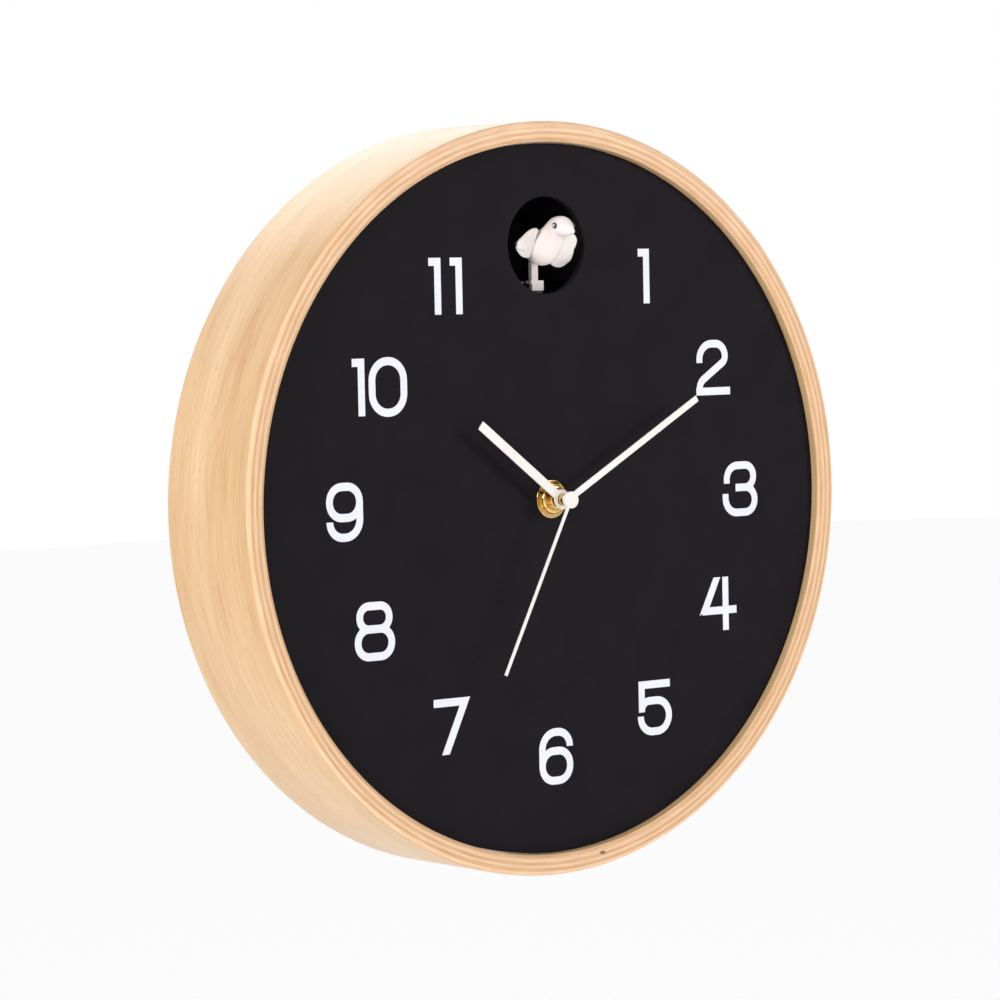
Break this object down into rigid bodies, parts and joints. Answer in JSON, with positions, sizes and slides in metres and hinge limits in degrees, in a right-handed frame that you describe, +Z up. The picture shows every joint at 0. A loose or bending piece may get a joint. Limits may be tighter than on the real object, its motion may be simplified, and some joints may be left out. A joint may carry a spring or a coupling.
{
  "type": "cuckoo wall clock",
  "caption": "Round bent-plywood wall clock with a black numbered dial, three white baton hands, and a white cuckoo that comes out of a round window at twelve.",
  "frame": {"origin": "centre of the case's back edge, in the plane of the wall, on the axis of the hands", "axes": "the dial faces -Y and +Y points into the wall, +X is to the right of a person reading the dial, +Z is up"},
  "size_m": [0.315, 0.0707, 0.315],
  "materials": {
    "birch_veneer": "clear satin lacquer on bent birch plywood",
    "dial_black": "matt black paint on fibreboard",
    "numeral_ink": "screen-printed white ink",
    "hand_white": "satin white paint on aluminium",
    "brass": "turned and lightly polished",
    "zinc_steel": "bright zinc plate on pressed steel",
    "tool_steel": "ground bright",
    "black_abs": "fine moulded texture",
    "white_nylon": "moulded, slightly translucent",
    "bird_white": "satin moulded white",
    "bead_black": "polished",
    "rubber": "matt",
    "copper_wire": "enamelled winding",
    "silicon_steel": "stamped lamination",
    "ferrite": "sintered",
    "board_green": "solder mask",
    "nickel": "nickel plate",
    "cell_jacket": "printed jacket with bright ends"
  },
  "bodies": {
    "clock_case": {"wood_frame": "birch_veneer", "dial_plate": "dial_black", "dial_numerals": "numeral_ink", "dial_brackets": "zinc_steel", "hanger_bracket": "zinc_steel", "wood_screws": "zinc_steel", "rubber_washer": "rubber", "brass_washer": "brass", "dial_nut": "brass", "threaded_bush": "brass", "movement_case": "black_abs", "movement_cover": "black_abs", "stator": "silicon_steel", "drive_coil": "copper_wire", "coil_bobbin": "white_nylon", "clock_circuit_board": "board_green", "quartz_crystal": "nickel", "clock_contacts": "nickel", "cuckoo_case": "black_abs", "cuckoo_cover": "black_abs", "cover_screws": "zinc_steel", "module_screws": "zinc_steel", "bird_tunnel": "black_abs", "gear_plate": "black_abs", "gear_shafts": "tool_steel", "cuckoo_motor": "nickel", "guide_rods": "tool_steel", "speaker": "ferrite", "sound_board": "board_green", "switch_board": "board_green", "cell_contacts": "nickel"},
    "second_hand_set": {"second_hand": "hand_white", "second_wheel": "white_nylon"},
    "rotor": {"rotor": "ferrite"},
    "fifth_wheel": {"fifth_wheel": "white_nylon"},
    "third_wheel": {"third_wheel": "white_nylon"},
    "centre_wheel": {"centre_wheel": "white_nylon"},
    "minute_hand_set": {"minute_hand": "hand_white", "minute_pipe": "brass"},
    "minute_wheel": {"minute_wheel": "white_nylon"},
    "hour_hand_set": {"hour_hand": "hand_white", "hour_wheel": "brass"},
    "setting_knob": {"setting_knob": "black_abs"},
    "aa_cell": {"aa_cell": "cell_jacket"},
    "c_cell_left": {"c_cell_left": "cell_jacket"},
    "c_cell_right": {"c_cell_right": "cell_jacket"},
    "motor_rotor": {"motor_pinion": "white_nylon", "motor_armature": "silicon_steel"},
    "reduction_gear": {"reduction_gear": "white_nylon"},
    "rack_drive_gear": {"rack_drive_gear": "white_nylon"},
    "bird": {"bird_carriage": "black_abs", "bird_post": "bird_white", "bird_body": "bird_white", "bird_eyes": "bead_black", "wing_pins": "tool_steel"},
    "left_wing": {"left_wing": "bird_white"},
    "right_wing": {"right_wing": "bird_white"},
    "wing_push_rod": {"wing_push_rod": "tool_steel"},
    "volume_slider": {"volume_slider": "bird_white"},
    "demo_button": {"demo_button": "bird_white"}
  },
  "joints": [
    {"name": "second_hand_turn", "type": "hinge", "parent": "clock_case", "child": "second_hand_set", "pos_m": [0, -0.042, 0], "axis": [0, 1, 0], "continuous": true},
    {"name": "rotor_turn", "type": "hinge", "parent": "clock_case", "child": "rotor", "pos_m": [0.01446, -0.042, 0.00812], "axis": [0, 1, 0], "continuous": true},
    {"name": "fifth_wheel_turn", "type": "hinge", "parent": "clock_case", "child": "fifth_wheel", "pos_m": [0.00846, -0.042, 0.00308], "axis": [0, 1, 0], "continuous": true},
    {"name": "third_wheel_turn", "type": "hinge", "parent": "clock_case", "child": "third_wheel", "pos_m": [0, -0.042, 0.009], "axis": [0, 1, 0], "continuous": true},
    {"name": "centre_wheel_turn", "type": "hinge", "parent": "clock_case", "child": "centre_wheel", "pos_m": [0, -0.042, 0], "axis": [0, 1, 0], "continuous": true},
    {"name": "minute_hand_turn", "type": "hinge", "parent": "clock_case", "child": "minute_hand_set", "pos_m": [0, -0.042, 0], "axis": [0, 1, 0], "continuous": true},
    {"name": "minute_wheel_turn", "type": "hinge", "parent": "clock_case", "child": "minute_wheel", "pos_m": [-0.0096, -0.042, 0], "axis": [0, 1, 0], "continuous": true},
    {"name": "hour_hand_turn", "type": "hinge", "parent": "clock_case", "child": "hour_hand_set", "pos_m": [0, -0.042, 0], "axis": [0, 1, 0], "continuous": true},
    {"name": "setting_knob_turn", "type": "hinge", "parent": "clock_case", "child": "setting_knob", "pos_m": [-0.01791, -0.042, 0.0048], "axis": [0, 1, 0], "continuous": true},
    {"name": "aa_cell_out", "type": "slide", "parent": "clock_case", "child": "aa_cell", "axis": [0, 1, 0], "range_m": [0, 0.02]},
    {"name": "c_cell_left_out", "type": "slide", "parent": "clock_case", "child": "c_cell_left", "axis": [0, 1, 0], "range_m": [0, 0.035]},
    {"name": "c_cell_right_out", "type": "slide", "parent": "clock_case", "child": "c_cell_right", "axis": [0, 1, 0], "range_m": [0, 0.035]},
    {"name": "cuckoo_motor_spin", "type": "hinge", "parent": "clock_case", "child": "motor_rotor", "pos_m": [-0.03452, -0.03184, 0.086], "axis": [0, 0, 1], "range_deg": [0, 1466.77]},
    {"name": "reduction_gear_turn", "type": "hinge", "parent": "clock_case", "child": "reduction_gear", "pos_m": [-0.025, -0.0274, 0.086], "axis": [0, 0, 1], "range_deg": [-458.37, 0]},
    {"name": "rack_drive_turn", "type": "hinge", "parent": "clock_case", "child": "rack_drive_gear", "pos_m": [-0.014, -0.0274, 0.086], "axis": [0, 0, 1], "range_deg": [0, 171.89]},
    {"name": "bird_slide", "type": "slide", "parent": "clock_case", "child": "bird", "axis": [0, 1, 0], "range_m": [0, 0.018]},
    {"name": "wing_push", "type": "slide", "parent": "bird", "child": "wing_push_rod", "axis": [0, 0, 1], "range_m": [-0.004, 0]},
    {"name": "left_wing_fold", "type": "hinge", "parent": "bird", "child": "left_wing", "pos_m": [0.0068, -0.051, 0.106], "axis": [0, -0.4787, 0.878], "range_deg": [0, 60]},
    {"name": "right_wing_fold", "type": "hinge", "parent": "bird", "child": "right_wing", "pos_m": [-0.0068, -0.051, 0.106], "axis": [0, 0.4787, -0.878], "range_deg": [0, 60]},
    {"name": "volume_slide", "type": "slide", "parent": "clock_case", "child": "volume_slider", "axis": [1, 0, 0], "range_m": [-0.0015, 0.0015]},
    {"name": "demo_button_press", "type": "slide", "parent": "clock_case", "child": "demo_button", "axis": [0, -1, 0], "range_m": [0, 0.001], "stiffness_N_per_m": 300, "springref_m": -0.001}
  ],
  "couplings": [
    {"joint": "fifth_wheel_turn", "follows": "second_hand_turn", "ratio": -5},
    {"joint": "rotor_turn", "follows": "second_hand_turn", "ratio": 30},
    {"joint": "third_wheel_turn", "follows": "second_hand_turn", "ratio": -0.13333},
    {"joint": "centre_wheel_turn", "follows": "second_hand_turn", "ratio": 0.016667},
    {"joint": "minute_wheel_turn", "follows": "minute_hand_turn", "ratio": -0.33333},
    {"joint": "hour_hand_turn", "follows": "minute_hand_turn", "ratio": 0.083333},
    {"joint": "setting_knob_turn", "follows": "minute_hand_turn", "ratio": 1},
    {"joint": "cuckoo_motor_spin", "follows": "bird_slide", "rad_per_m": 1422.2},
    {"joint": "reduction_gear_turn", "follows": "bird_slide", "rad_per_m": -444.44},
    {"joint": "rack_drive_turn", "follows": "bird_slide", "rad_per_m": 166.67},
    {"joint": "wing_push", "follows": "bird_slide", "ratio": -0.22222},
    {"joint": "left_wing_fold", "follows": "bird_slide", "rad_per_m": 58.178},
    {"joint": "right_wing_fold", "follows": "bird_slide", "rad_per_m": 58.178}
  ]
}
